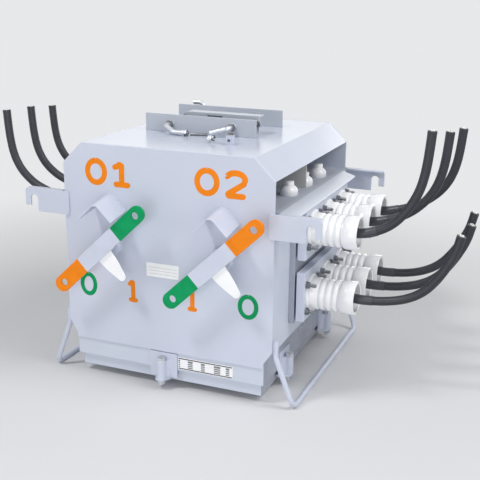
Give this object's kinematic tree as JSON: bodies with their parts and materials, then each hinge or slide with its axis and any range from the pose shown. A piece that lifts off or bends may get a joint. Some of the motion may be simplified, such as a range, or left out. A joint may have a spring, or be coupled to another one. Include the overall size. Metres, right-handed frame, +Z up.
{
  "type": "vacuum load break switch",
  "caption": "Two-way vacuum load break switch: a steel case with hooded hand levers, bushings with stub leads on both sides, hook plates, roof rails and bar legs.",
  "frame": {"origin": "middle of the footprint of the switch, without its leads, on the ground under the leg bars", "axes": "+X to the line side with six bushings, -Y to the front with the levers, +Z up"},
  "size_m": [1.2895, 0.689, 0.6747],
  "materials": {
    "paint": "semi-gloss light grey",
    "tank_paint": "gloss light grey",
    "porcelain": "glazed white",
    "board": "dull grey board",
    "lever_paint": "orange and green halves",
    "pointer_paint": "white",
    "zinc": "galvanised",
    "lead": "satin dark grey"
  },
  "bodies": {
    "case": {"front_plate": "paint", "back_plate": "paint", "roof": "paint", "bulkhead": "board", "tank": "tank_paint", "tank_lid": "tank_paint", "drip_pan": "tank_paint", "rain_lip": "paint", "side_frame": "tank_paint", "upper_bushing_plate": "paint", "lower_bushing_plate": "paint", "load_bushing_plate": "paint", "upper_bushings": "porcelain", "lower_bushings": "porcelain", "load_bushings": "porcelain", "bay_insulators": "porcelain", "hood_left": "paint", "hood_right": "paint", "shaft_bearings": "paint", "front_rail": "paint", "middle_rail": "paint", "back_rail": "paint", "hook_bolts": "zinc", "latch_tube": "tank_paint", "ear_front_left": "paint", "ear_front_right": "paint", "ear_back_left": "paint", "ear_back_right": "paint", "legs": "paint", "pan_clamps": "paint", "lead_upper_front": "lead", "lead_upper_middle": "lead", "lead_upper_back": "lead", "lead_lower_front": "lead", "lead_lower_middle": "lead", "lead_lower_back": "lead", "lead_load_front": "lead", "lead_load_middle": "lead", "lead_load_back": "lead"},
    "left_lever": {"lever_left": "lever_paint", "pointer_left": "pointer_paint", "shaft_left": "zinc"},
    "right_lever": {"lever_right": "lever_paint", "pointer_right": "pointer_paint", "shaft_right": "zinc"}
  },
  "joints": [
    {"name": "left_lever_turn", "type": "hinge", "parent": "case", "child": "left_lever", "pos_m": [-0.1715, -0.2985, 0.364], "axis": [0, 1, 0], "range_deg": [0, 87]},
    {"name": "right_lever_turn", "type": "hinge", "parent": "case", "child": "right_lever", "pos_m": [0.1285, -0.2985, 0.364], "axis": [0, 1, 0], "range_deg": [0, 87]}
  ]
}
